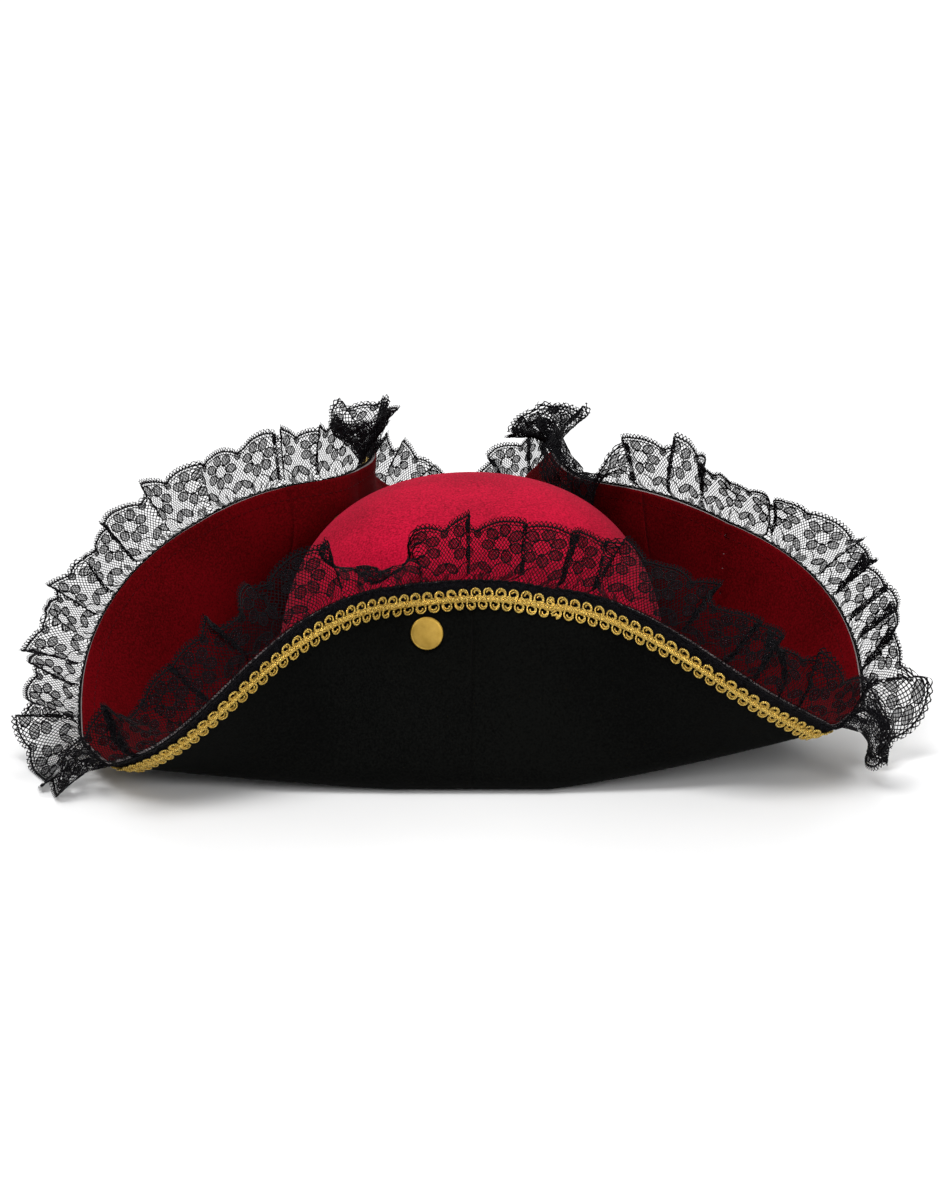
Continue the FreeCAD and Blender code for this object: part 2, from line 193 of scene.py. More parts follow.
def brim_frame(flap, azimuth, radius):
    """Point, outward, sideways (anticlockwise) and normal (towards the crimson face) of the brim."""
    step = 0.2
    turn = np.degrees(step / radius)
    point = brim_point(flap, azimuth, radius)
    outward = unit(brim_point(flap, azimuth, radius + step) - brim_point(flap, azimuth, radius - step))
    sideways = unit(brim_point(flap, azimuth + turn, radius) - brim_point(flap, azimuth - turn, radius))
    return point, outward, sideways, unit(np.cross(outward, sideways))


# ---- mesh helpers --------------------------------------------------------------------------------------
def mesh_object(name, points, faces, material, smooth=True, attribute=None):
    """Mesh object from points in millimetres."""
    data = bpy.data.meshes.new(name)
    data.from_pydata((np.asarray(points) * MM).tolist(), [], faces)
    data.polygons.foreach_set("use_smooth", [smooth] * len(data.polygons))
    if attribute is not None:
        made = data.attributes.new("weave", "FLOAT_VECTOR", "POINT")
        made.data.foreach_set("vector", np.asarray(attribute, np.float32).ravel())
    data.materials.append(material)
    data.update()
    made = bpy.data.objects.new(name, data)
    bpy.context.scene.collection.objects.link(made)
    return made


def grid_faces(rows, columns, start=0, flip=False):
    faces = []
    for i in range(rows - 1):
        for j in range(columns - 1):
            a = start + i * columns + j
            face = (a, a + 1, a + columns + 1, a + columns)
            faces.append(face[::-1] if flip else face)
    return faces


def slab_object(name, lower, upper, material):
    """Closed thin solid between two grids of points."""
    rows, columns = lower.shape[:2]
    count = rows * columns
    points = np.concatenate([lower.reshape(-1, 3), upper.reshape(-1, 3)])
    faces = grid_faces(rows, columns, 0, True) + grid_faces(rows, columns, count)
    rim = [i * columns for i in range(rows)]
    rim += [(rows - 1) * columns + j for j in range(1, columns)]
    rim += [i * columns + columns - 1 for i in range(rows - 2, -1, -1)]
    rim += [j for j in range(columns - 2, 0, -1)]
    skins = len(faces)
    for a, b in zip(rim, rim[1:] + rim[:1]):
        faces.append((a, a + count, b + count, b))
    made = mesh_object(name, points, faces, material)
    for polygon in made.data.polygons[skins:]:
        polygon.use_smooth = False
    return made


class Tubes:
    """Many thin cords gathered into one mesh."""

    def __init__(self):
        self.points, self.faces, self.marks = [], [], []
        self.count = 0

    def add(self, path, radius, sides=5, closed=False, normal=None):
        path = np.asarray(path, float)
        count = len(path)
        if closed:
            tangent = np.roll(path, -1, 0) - np.roll(path, 1, 0)
        else:
            tangent = np.gradient(path, axis=0)
        tangent = unit(tangent)
        up = np.asarray(normal if normal is not None else (0.03, 0.02, 1.0), float)
        side = unit(np.cross(tangent, up))
        up = np.cross(side, tangent)
        run = np.concatenate([[0], np.cumsum(np.linalg.norm(np.diff(path, axis=0), axis=1))])
        radii = np.full(count, radius, float) if np.isscalar(radius) else np.asarray(radius, float)
        rings, marks = [], []
        for k in range(sides):
            a = 2 * math.pi * k / sides
            rings.append(path + radii[:, None] * (math.cos(a) * side + math.sin(a) * up))
            marks.append(np.stack([run, np.full(count, k / sides), 0 * run], -1))
        self.points.append(np.stack(rings, 1).reshape(-1, 3))
        self.marks.append(np.stack(marks, 1).reshape(-1, 3))
        last = count if closed else count - 1
        for i in range(last):
            n = (i + 1) % count
            for k in range(sides):
                m = (k + 1) % sides
                a, b = self.count + i * sides, self.count + n * sides
                self.faces.append((a + k, a + m, b + m, b + k))
        if not closed:
            self.faces.append(tuple(self.count + k for k in range(sides))[::-1])
            self.faces.append(tuple(self.count + (count - 1) * sides + k for k in range(sides)))
        self.count += count * sides

    def make(self, name, material):
        points, marks = np.concatenate(self.points), np.concatenate(self.marks)
        return mesh_object(name, points, self.faces, material, True, marks)


def lathe(name, profile, origin, axis, material, sides=64):
    """Turned piece from a profile of (radius, height) points, set on an axis."""
    axis = Vector(axis).normalized()
    turn = axis.to_track_quat("Z", "Y").to_matrix()
    points, faces = [], []
    for radius, height in profile:
        for k in range(sides):
            a = 2 * math.pi * k / sides
            place = turn @ Vector((radius * math.cos(a), radius * math.sin(a), height))
            points.append(place + Vector(origin))
    for i in range(len(profile) - 1):
        for k in range(sides):
            m = (k + 1) % sides
            faces.append((i * sides + k, i * sides + m, (i + 1) * sides + m, (i + 1) * sides + k))
    faces.append(tuple(range(sides))[::-1])
    faces.append(tuple((len(profile) - 1) * sides + k for k in range(sides)))
    return mesh_object(name, [tuple(p) for p in points], faces, material)


# ---- materials -----------------------------------------------------------------------------------------
class Graph:
    """A material and the wiring of its nodes."""

    def __init__(self, name, **shader):
        self.material = bpy.data.materials.new(name)
        self.material.use_nodes = True
        self.nodes = self.material.node_tree.nodes
        self.shader = self.nodes["Principled BSDF"]
        for key, value in shader.items():
            self.put(self.shader.inputs[key.replace("_", " ")], value)

    def put(self, socket, value):
        if isinstance(value, bpy.types.Node):
            value = value.outputs[0]
        if isinstance(value, bpy.types.NodeSocket):
            self.material.node_tree.links.new(value, socket)
        else:
            socket.default_value = value

    def node(self, kind, inputs=None, **settings):
        made = self.nodes.new("ShaderNode" + kind)
        for key, value in settings.items():
            setattr(made, key, value)
        for key, value in (inputs or {}).items():
            self.put(made.inputs[key], value)
        return made

    def math(self, operation, *values):
        made = self.node("Math", operation=operation)
        for socket, value in zip(made.inputs, values):
            self.put(socket, value)
        return made.outputs[0]

    def place(self):
        return self.node("TexCoord").outputs["Object"]

    def noise(self, scale, detail=3.0, vector=None):
        inputs = {"Scale": scale, "Detail": detail, "Vector": vector or self.place()}
        return self.node("TexNoise", inputs).outputs["Fac"]

    def ramp(self, factor, *stops):
        made = self.node("ValToRGB", {"Fac": factor})
        elements = made.color_ramp.elements
        while len(elements) < len(stops):
            elements.new(0.5)
        for element, (position, colour) in zip(elements, stops):
            element.position = position
            element.color = (*colour, 1.0)
        return made.outputs["Color"]

    def shade(self, socket, low, high, factor, bottom=0.3, top=0.7):
        inputs = {"Value": factor, "From Min": bottom, "From Max": top, "To Min": low, "To Max": high}
        self.put(self.shader.inputs[socket], self.node("MapRange", inputs))

    def bump(self, height, distance, strength=1.0):
        inputs = {"Height": height, "Distance": distance, "Strength": strength}
        self.put(self.shader.inputs["Normal"], self.node("Bump", inputs))


def suede(name, dark, light, sheen_colour, sheen=0.5, grain=0.00012):
    """Brushed suede-look cloth: nap in soft patches, fine speckle and a short pile."""
    g = Graph(name, Sheen_Weight=sheen, Sheen_Roughness=0.45, Sheen_Tint=(*sheen_colour, 1.0),
              Specular_IOR_Level=0.03)
    nap = g.noise(22.0, 4.0)
    pile = g.noise(1100.0, 3.0)
    mixed = g.math("MULTIPLY_ADD", pile, 0.65, g.math("MULTIPLY", nap, 0.35))
    g.put(g.shader.inputs["Base Color"], g.ramp(mixed, (0.40, dark), (0.60, light)))
    g.shade("Roughness", 0.78, 0.95, nap)
    g.bump(g.math("MULTIPLY_ADD", nap, 0.8, g.noise(2400.0, 2.0)), grain, 0.6)
    return g.material


def foam(name):
    g = Graph(name)
    cells = g.node("TexVoronoi", {"Scale": 1400.0, "Vector": g.place()}).outputs["Distance"]
    tone = g.ramp(cells, (0.1, (0.10, 0.085, 0.085)), (0.7, (0.30, 0.26, 0.26)))
    g.put(g.shader.inputs["Base Color"], tone)
    g.shade("Roughness", 0.8, 1.0, cells)
    g.bump(cells, 0.0002, 0.5)
    return g.material


def woven(name, dark, light, pitch, ribs=False):
    """Plain weave, or grosgrain ribs that run round the head."""
    g = Graph(name, Sheen_Weight=0.25)
    place = g.place()
    scale = 1.0 / pitch
    across = g.node("TexWave", {"Scale": scale * 0.5, "Distortion": 0.4, "Vector": place},
                    bands_direction="Z" if ribs else "DIAGONAL").outputs["Fac"]
    other = g.node("TexWave", {"Scale": scale * 0.5, "Distortion": 0.4, "Vector": place},
                   bands_direction="X").outputs["Fac"]
    weave = across if ribs else g.math("MULTIPLY", across, other)
    tone = g.math("MULTIPLY_ADD", g.noise(60.0), 0.5, g.math("MULTIPLY", weave, 0.5))
    g.put(g.shader.inputs["Base Color"], g.ramp(tone, (0.2, dark), (0.8, light)))
    g.shade("Roughness", 0.45, 0.75, weave)
    g.bump(weave, 0.00025, 0.7)
    return g.material


def gold_thread(name):
    """Metallised yarn: diagonal twist along each cord, with painted shade in the grooves and painted highlights
    and glints in its colour.
    """
    g = Graph(name, Metallic=0.95)
    marks = g.node("Attribute", attribute_name="weave").outputs["Vector"]
    parts = g.node("SeparateXYZ", {"Vector": marks})
    twist = g.math("MULTIPLY_ADD", parts.outputs["X"], 9.0, g.math("MULTIPLY", parts.outputs["Y"], 6.2832))
    twist_ridges_and_groove_shade = g.math("MULTIPLY_ADD", g.math("SINE", twist), 0.5, 0.5)
    tone = g.math("MULTIPLY_ADD", g.noise(1800.0), 0.55, g.math("MULTIPLY", twist_ridges_and_groove_shade, 0.5))
    # Painted light in the base colour: the dark stop is painted shade in the twist's grooves, the bright stop a
    # painted highlight on its ridges, and the speckle gives painted glints.
    stops = [(0.28, (0.15, 0.07, 0.004)), (0.48, (0.62, 0.38, 0.045)), (0.66, (0.98, 0.72, 0.20))]
    g.put(g.shader.inputs["Base Color"], g.ramp(tone, *stops))
    g.shade("Roughness", 0.16, 0.42, g.noise(900.0))
    g.bump(twist_ridges_and_groove_shade, 0.00018, 0.9)
    return g.material


def brass(name):
    g = Graph(name, Metallic=1.0)
    tarnish = g.noise(180.0, 5.0)
    fine = g.noise(1600.0, 2.0)
    tone = g.ramp(tarnish, (0.3, (0.23, 0.14, 0.022)), (0.7, (0.40, 0.255, 0.055)))
    g.put(g.shader.inputs["Base Color"], tone)
    g.shade("Roughness", 0.34, 0.52, g.math("MULTIPLY_ADD", tarnish, 0.6, g.math("MULTIPLY", fine, 0.4)))
    g.bump(fine, 0.00003, 0.5)
    return g.material


def lace_net(name):
    """Black lace ground: fine net, hatched flowers and leaves, open elsewhere."""
    g = Graph(name, Roughness=0.7, Specular_IOR_Level=0.02)
    marks = g.node("Attribute", attribute_name="weave").outputs["Vector"]
    parts = g.node("SeparateXYZ", {"Vector": marks})
    u, v = parts.outputs["X"], parts.outputs["Y"]
    mesh = 0.0
    for slope in (NET_SLOPE, -NET_SLOPE):
        wave = g.math("SINE", g.math("MULTIPLY", g.math("MULTIPLY_ADD", v, slope, u), NET_TURNS))
        mesh = g.math("MAXIMUM", mesh, g.math("GREATER_THAN", wave, 0.68))
    loose = g.node("Mapping", {"Vector": marks, "Scale": (0.42, 0.13, 0.0)})
    puckers = g.node("TexNoise", {"Vector": loose, "Scale": 1.0, "Detail": 2.0}).outputs["Fac"]
    level = g.math("MULTIPLY_ADD", g.math("SUBTRACT", v, LACE_HEADING), 0.028, 0.50)
    gathers = g.math("MULTIPLY", g.math("GREATER_THAN", puckers, level), 0.8)
    x = g.math("WRAP", u, LACE_PERIOD / 2, -LACE_PERIOD / 2)
    side = g.math("ABSOLUTE", x)
    y = g.math("SUBTRACT", v, FLOWER_HEIGHT)
    radius = g.math("SQRT", g.math("ADD", g.math("MULTIPLY", x, x), g.math("MULTIPLY", y, y)))
    turn = 2 * math.pi / PETALS
    angle = g.math("WRAP", g.math("ARCTAN2", y, x), turn, 0.0)
    angle = g.math("SUBTRACT", angle, turn / 2)
    petal_x = g.math("SUBTRACT", g.math("MULTIPLY", radius, g.math("COSINE", angle)), PETAL_RING)
    petal_y = g.math("MULTIPLY", radius, g.math("SINE", angle))

    def oval(a, b, long, wide):
        first = g.math("POWER", g.math("ABSOLUTE", g.math("MULTIPLY", a, 1 / long)), 2.0)
        second = g.math("POWER", g.math("ABSOLUTE", g.math("MULTIPLY", b, 1 / wide)), 2.0)
        return g.math("LESS_THAN", g.math("ADD", first, second), 1.0)

    flower = oval(petal_x, petal_y, PETAL_LONG, PETAL_WIDE)
    leaf_x = g.math("SUBTRACT", side, LACE_PERIOD / 2 - LEAF_INSET)
    leaf_y = g.math("SUBTRACT", v, LEAF_HEIGHT)
    slant = g.math("MULTIPLY_ADD", leaf_x, LEAF_ALONG, g.math("MULTIPLY", leaf_y, LEAF_UP))
    width = g.math("MULTIPLY_ADD", leaf_x, -LEAF_UP, g.math("MULTIPLY", leaf_y, LEAF_ALONG))
    motif = g.math("MAXIMUM", flower, oval(slant, width, LEAF_LONG, LEAF_WIDE))
    bud_x = g.math("SUBTRACT", side, LACE_PERIOD / 2)
    bud = oval(bud_x, g.math("SUBTRACT", v, BUD_HEIGHT), BUD_WIDE, BUD_LONG)
    motif = g.math("MAXIMUM", motif, bud)
    lines = g.math("SINE", g.math("MULTIPLY", g.math("MULTIPLY_ADD", v, 0.8, u), 6.6))
    hatch = g.math("GREATER_THAN", lines, -0.35)
    solid = g.math("MULTIPLY", motif, g.math("MULTIPLY_ADD", hatch, 0.45, 0.38))
    heading = g.math("MULTIPLY", g.math("LESS_THAN", v, LACE_HEADING + 0.3), 0.85)
    cover = mesh
    for part in (solid, heading, gathers):
        cover = g.math("MAXIMUM", cover, part)
    g.put(g.shader.inputs["Alpha"], cover)
    tone = g.ramp(g.noise(700.0), (0.3, (0.002, 0.002, 0.0025)), (0.7, (0.007, 0.0065, 0.008)))
    g.put(g.shader.inputs["Base Color"], tone)
    return g.material


def yarn(name, dark, light):
    g = Graph(name, Specular_IOR_Level=0.05)
    marks = g.node("Attribute", attribute_name="weave").outputs["Vector"]
    parts = g.node("SeparateXYZ", {"Vector": marks})
    twist = g.math("SINE", g.math("MULTIPLY", parts.outputs["X"], 12.0))
    g.put(g.shader.inputs["Base Color"], g.ramp(twist, (0.0, dark), (1.0, light)))
    g.shade("Roughness", 0.38, 0.62, g.noise(900.0))
    g.bump(twist, 0.0001, 0.6)
    return g.material


CRIMSON = suede("crimson_suede", (0.20, 0.0008, 0.011), (0.47, 0.0045, 0.030), (1.0, 0.35, 0.45), 0.05)
# Brim's upper cloth: a darker red than the crown's cloth, darkened further with painted shade for the flaps'
# inner faces, which turn away from the light.
DARK_RED_WITH_PAINTED_SHADE = suede("dark_red_suede", (0.050, 0.0002, 0.0006), (0.115, 0.0008, 0.0028), (1.0, 0.1, 0.15), 0.03)
BLACK = suede("black_suede", (0.0008, 0.0009, 0.0008), (0.0030, 0.0032, 0.0028), (0.5, 0.5, 0.5), 0.015)
FOAM = foam("foam")
LINING = woven("lining", (0.006, 0.006, 0.007), (0.022, 0.021, 0.024), 0.0006)
SWEATBAND = woven("sweatband", (0.008, 0.008, 0.009), (0.035, 0.033, 0.036), 0.0022, True)
GOLD = gold_thread("gold_braid")
BRASS = brass("brass")
LACE = lace_net("black_lace")
LACE_CORD = yarn("black_lace_cord", (0.002, 0.002, 0.0025), (0.009, 0.008, 0.010))
THREAD = yarn("thread", (0.03, 0.0008, 0.0015), (0.09, 0.002, 0.004))


# ---- pieces of the brim --------------------------------------------------------------------------------
def half_azimuths(flap_name, side, count):
    """Azimuths from the middle of a flap to the corner on one side."""
    start = FLAPS[flap_name]["azimuth"]
    return start + side * np.linspace(0, HALF_SPAN, count)


def attach(piece, flap_name, side, slot, *nodes):
    """Bakes the piece's placement into its mesh and hides the CAD parts that it replaces."""
    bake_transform(piece)
    if nodes:
        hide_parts(*nodes)
    return piece


def brim_layer(flap_name, side, kind, low, high, inset, material):
    """One layer of a half flap, from the head opening to the edge."""
    azimuths = half_azimuths(flap_name, side, BRIM_STEPS)
    flap = FLAPS[flap_name]
    fractions = np.linspace(0, 1, BRIM_ROWS)
    inner, outer = opening_radius(azimuths), edge_radius(azimuths) - inset
    azimuth_grid = azimuths[:, None] + 0 * fractions[None, :]
    radius_grid = inner[:, None] + (outer - inner)[:, None] * fractions[None, :]
    point, _, _, normal = brim_frame(flap, azimuth_grid, radius_grid)
    lower, upper = point + normal * low, point + normal * high
    if side < 0:
        lower, upper = lower[::-1], upper[::-1]
    name = "brim_" + flap_name + ("_acw_" if side > 0 else "_cw_") + kind
    return slab_object(name, lower, upper, material)


def stitches(flap_name, side, inset, offset, name, material):
    """Row of lock stitches parallel to the edge."""
    flap = FLAPS[flap_name]
    azimuths = half_azimuths(flap_name, side, LINE_STEPS)
    point, _, _, normal = brim_frame(flap, azimuths, edge_radius(azimuths) - inset)
    line = point + normal * offset
    run = np.concatenate([[0], np.cumsum(np.linalg.norm(np.diff(line, axis=0), axis=1))])
    made = Tubes()
    count = int(run[-1] / STITCH_PITCH)
    for i in range(count):
        spots = np.linspace((i + 0.14) / count, (i + 0.86) / count, 6) * run[-1]
        path = np.stack([np.interp(spots, run, line[:, k]) for k in range(3)], -1)
        sink = np.stack([np.interp(spots, run, normal[:, k]) for k in range(3)], -1)
        dip = (np.linspace(-1, 1, 6) ** 4)[:, None] * 0.3
        made.add(path - sink * dip, STITCH_RADIUS, 5)
    return made.make(name, material)


def braid_path(line, outward, normal, run, u, across, height):
    """Points of a braid cord: along the centre line, out across it, and up from the cloth."""
    place = np.stack([np.interp(u, run, line[:, k]) for k in range(3)], -1)
    out = np.stack([np.interp(u, run, outward[:, k]) for k in range(3)], -1)
    face = np.stack([np.interp(u, run, normal[:, k]) for k in range(3)], -1)
    return place + out * np.asarray(across)[:, None] - face * np.asarray(height)[:, None], -face.mean(0)


def gimp(flap_name, side, name):
    """Gold gimp: two staggered rows of scroll loops with plaited cords along the middle."""
    flap = FLAPS[flap_name]
    turned = np.linspace(-GIMP_OVERRUN, HALF_SPAN + GIMP_OVERRUN, 946)
    azimuths = flap["azimuth"] + side * turned
    point, outward, sideways, normal = brim_frame(flap, azimuths, edge_radius(azimuths) - GIMP_MIDDLE)
    square = np.cross(sideways, normal)
    outward = unit(square) * np.sign((outward * square).sum(-1))[:, None]
    run = np.concatenate([[0], np.cumsum(np.linalg.norm(np.diff(point, axis=0), axis=1))])
    first, last = np.interp([0, HALF_SPAN], turned, run)
    run, length = run - first, last - first
    count = int(round(length / GIMP_PITCH))
    pitch = length / count
    rng = random.Random(flap_name + str(side))
    made = Tubes()
    for i in range(count + 1):
        for row, shift in ((1, 0.5), (-1, 0.0)):
            if i == count and row > 0 or i in (0, count) and row < 0 and side < 0:
                continue  # the loops on the seams belong to the other half
            centre = (i + shift) * pitch
            size = GIMP_LOOP + rng.uniform(-0.12, 0.12)
            middle = row * (GIMP_ROW + rng.uniform(-0.1, 0.1))
            turns = np.linspace(-0.15, 1.75, 30) * 2 * math.pi
            spiral = size * np.interp(turns / (2 * math.pi), [-0.15, 1.0, 1.75], [1.12, 1.0, 0.42])
            u = centre + spiral * np.sin(turns)
            across = middle - row * spiral * np.cos(turns)
            height = GIMP_FOOT + 0.25 + 0.25 * np.sin(turns * 0.5)
            path, up = braid_path(point, outward, normal, run, u, across, height)
            made.add(path, 0.43, 6, normal=up)
    for phase in (0.0, 0.5, 0.25, 0.75):
        u = np.linspace(0, length, int(length / 0.55))
        wave = 2 * math.pi * (u / pitch + phase)
        across = 0.95 * np.sin(wave)
        height = GIMP_FOOT + 0.75 + 0.25 * np.cos(2 * wave)
        path, up = braid_path(point, outward, normal, run, u, across, height)
        made.add(path, 0.36, 6, normal=up)
    for row in (1, -1):
        u = np.linspace(0, length, int(length / 0.8))
        across = row * (1.25 + 0.25 * np.sin(2 * math.pi * u / pitch * 2))
        path, up = braid_path(point, outward, normal, run, u, across, 0 * u + GIMP_FOOT - 0.1)
        made.add(path, 0.35, 5, normal=up)
    return made.make(name, GOLD)


# ---- lace ----------------------------------------------------------------------------------------------
def crown_push(points, margin=1.0):
    """Moves points that would lie in the crown out to its surface."""
    sizes = np.array([CROWN_HALF_WIDTH + margin, CROWN_HALF_LENGTH + margin, CROWN_HEIGHT + margin])
    q = points / sizes
    plan = np.hypot(q[..., 0], q[..., 1])
    level = (plan ** CROWN_POWER + np.maximum(q[..., 2], 0) ** CROWN_POWER) ** (1 / CROWN_POWER)
    inside = (level < 1) & (points[..., 2] > 0)
    away = points.copy()
    scale = 1 / np.maximum(level, 0.2)
    away[..., 0] *= scale
    away[..., 1] *= scale
    away[..., 2] = np.maximum(points[..., 2], points[..., 2] * (0.5 + 0.5 * scale))
    return np.where(inside[..., None], away, points)


def pleats():
    """Irregular knife pleats all round the brim, crowded where the rear corners turn in."""
    rng = random.Random(11)
    places, total = [], 0.0
    while total < 360.0:
        places.append(total)
        crowded = 48 < total < 66 or 114 < total < 130
        total += rng.uniform(2.2, 3.4) if crowded else rng.uniform(3.6, 6.6)
    places = np.array(places) * 360.0 / total
    depths, leans, widths, steps = [
        np.array([rng.uniform(low, high) for _ in places])
        for low, high in ((2.5, 5.5), (-30.0, 34.0), (0.62, 1.2), (1.5, 6.5))]
    ways = np.array([rng.choice((1, 1, 1, -1)) for _ in places])
    return places, depths, ways, leans, widths, steps


def fold_profile():
    """One pleat seen from its edge: phase, how far along, how far out of the sheet, how far its edge
    stands up, and the cloth used so far."""
    keys = np.array([(0.0, 0.0, 0.0, -0.5), (0.30, 0.42, -0.30, -0.25), (0.55, 0.90, 0.20, 0.25),
                     (0.64, 1.055, 0.80, 0.5), (0.67, 1.06, 0.95, 0.45), (0.78, 0.93, 0.45, -0.4),
                     (0.81, 0.925, 0.25, -0.5), (1.0, 1.0, 0.0, -0.5)])
    phase = np.linspace(-1, 2, 1201)
    step = phase - np.floor(phase)
    along, out, stand = [np.interp(step, keys[:, 0], keys[:, k]) for k in (1, 2, 3)]
    kernel = np.hanning(21) / np.hanning(21).sum()
    shift, out, stand = [np.convolve(v, kernel, "same") for v in (along - step, out, stand)]
    used = np.concatenate([[0], np.cumsum(np.hypot(np.diff(shift + phase), 0.2 * np.diff(out)))])
    one = slice(400, 801)
    return phase[one], shift[one], out[one], stand[one], used[one] - used[400]


PROFILE = fold_profile()
FULLNESS = PROFILE[4][-1]  # length of lace to a length of brim
PLEATS = pleats()


def rim_frame(azimuths):
    """Edge of the brim all round: each third from its own flap."""
    turned = (azimuths + 150) % 360
    sets = []
    for name in ("front", "right", "left"):
        middle = FLAPS[name]["azimuth"]
        near = middle + (azimuths - middle + 180) % 360 - 180
        sets.append(brim_frame(FLAPS[name], near, edge_radius(azimuths)))
    front, right = (turned < 120)[:, None], (turned < 240)[:, None]
    return [np.where(front, a, np.where(right, b, c)) for a, b, c in zip(*sets)]


def rim_table():
    """Edge of the brim in fine steps, with its directions smoothed so that neighbouring halves agree."""
    azimuths = np.arange(0, 360, 0.125)
    point, outward, sideways, normal = rim_frame(azimuths)
    width = 24
    kernel = np.hanning(2 * width + 1)
    kernel /= kernel.sum()
    smooth = []
    for values in (outward, normal):
        round_again = np.concatenate([values[-width:], values, values[:width]])
        parts = [np.convolve(round_again[:, k], kernel, "valid") for k in range(3)]
        smooth.append(unit(np.stack(parts, -1)))
    outward, normal = smooth
    return azimuths, point, outward, unit(np.cross(normal, outward)), normal


RIM = rim_table()


def rim_at(azimuths):
    """Point, outward, sideways and normal of the edge at given azimuths."""
    found = []
    for values in RIM[1:]:
        parts = [np.interp(azimuths, RIM[0], values[:, k], period=360) for k in range(3)]
        found.append(np.stack(parts, -1))
    return found


def bell(azimuths, middle, width):
    """One over the middle and nothing beyond the width, with a flat top."""
    away = (azimuths - middle + 180) % 360 - 180
    return np.exp(-(away / width) ** 4)


# where the ruffle is pressed over towards the crimson face (positive) or hangs outward: azimuth in
# degrees, width in degrees, and how far its edge turns over, in degrees
RUFFLE_BENDS = [
    (-100.2, 4.1, 132.0), (-110.0, 3.5, 45.0), (-122.0, 5.5, 75.0), (-134.0, 5.5, 40.0), (-88.0, 4.5, -14.0),
    (-70.0, 5.0, 60.0), (-60.0, 4.5, 20.0), (-50.0, 5.0, 75.0), (-40.0, 4.5, 30.0), (-30.0, 5.5, -100.0),
    (38.5, 5.2, 165.0), (53.0, 3.5, -40.0), (62.0, 5.5, 60.0), (74.0, 4.5, -30.0), (94.0, 9.5, 88.0),
    (107.0, 5.0, 35.0), (117.0, 4.0, -30.0), (126.0, 4.5, 34.0), (211.0, 6.5, -50.0), (12.0, 5.5, 20.0),
    (165.0, 6.5, -15.0), (180.0, 5.5, 14.0), (-12.0, 5.5, -16.0),
]


def lace_points(azimuths, fractions):
    """Gathered lace as a grid of points, with its own coordinates along and across the strip."""
    places, depths, ways, leans, widths, steps = PLEATS
    spots = np.mod(azimuths, 360)
    ends = np.append(places, 360.0)
    index = np.clip(np.searchsorted(ends, spots, "right") - 1, 0, len(places) - 1)
    pitch = ends[index + 1] - ends[index]
    phase = (spots - ends[index]) / pitch
    way = ways[index]
    turned = np.where(way > 0, phase, 1 - phase)
    along = np.interp(turned, PROFILE[0], PROFILE[1]) * way
    out = np.interp(turned, PROFILE[0], PROFILE[2])
    stand = np.interp(turned, PROFILE[0], PROFILE[3])
    used = np.interp(turned, PROFILE[0], PROFILE[4])
    used = np.where(way > 0, used, FULLNESS - used)
    middles = places + 0.5 * np.diff(ends)
    depth, lean, width, step = [np.interp(spots, middles, values, period=360)
                                for values in (depths, leans, widths, steps)]
    point, outward, sideways, normal = rim_at(azimuths)
    pitch = np.radians(pitch) * MEAN_EDGE_RADIUS
    fine = np.sin(2 * math.pi * spots * 0.9 + 2.0 * np.sin(spots * 0.7))
    bend = lean + 0.0 * spots
    for middle, reach, amount in RUFFLE_BENDS:
        bend = bend + amount * bell(azimuths, middle, reach)
    u = np.radians(azimuths) * MEAN_EDGE_RADIUS * FULLNESS + pitch * (used - FULLNESS * phase)
    scallop = np.abs(np.cos(math.pi * u / LACE_PERIOD)) ** 0.7
    rows = fractions[None, :] * (LACE_WIDTH - LACE_DEPTH * (1 - scallop))[:, None]
    beyond = np.maximum(rows - LACE_HEADING, 0)
    growth = (beyond / 30.0) ** 0.6
    spread = np.minimum(beyond / 4.0, 1.0) ** 0.6
    tight = np.exp(-(beyond / 8.0) ** 2) * np.minimum(beyond / 1.5, 1.0)
    ripple = out[:, None] * depth[:, None] * growth + fine[:, None] * 0.7 * tight
    shift = (along * width * pitch)[:, None] * spread
    angle = np.radians(bend)[:, None] * np.minimum(beyond / 17.0, 1.0)
    strides = np.diff(beyond, axis=1, prepend=beyond[:, :1]) * (1 + stand * step / 30.0)[:, None]
    reach = np.cumsum(np.cos(angle) * strides, axis=1)
    rise = np.cumsum(np.sin(angle) * strides, axis=1)
    heading = np.minimum(rows, LACE_HEADING) - LACE_HEADING
    reach = reach - ripple * np.sin(angle)
    rise = rise + ripple * np.cos(angle)
    grid = point[:, None, :] + outward[:, None, :] * (heading + reach)[..., None]
    grid = grid + normal[:, None, :] * (rise - 0.3)[..., None] + sideways[:, None, :] * shift[..., None]
    grid = crown_push(grid)
    grid[..., 2] = np.maximum(grid[..., 2], 0.6)
    marks = np.stack([u[:, None] + 0 * rows, rows, 0 * rows], -1)
    return grid, marks


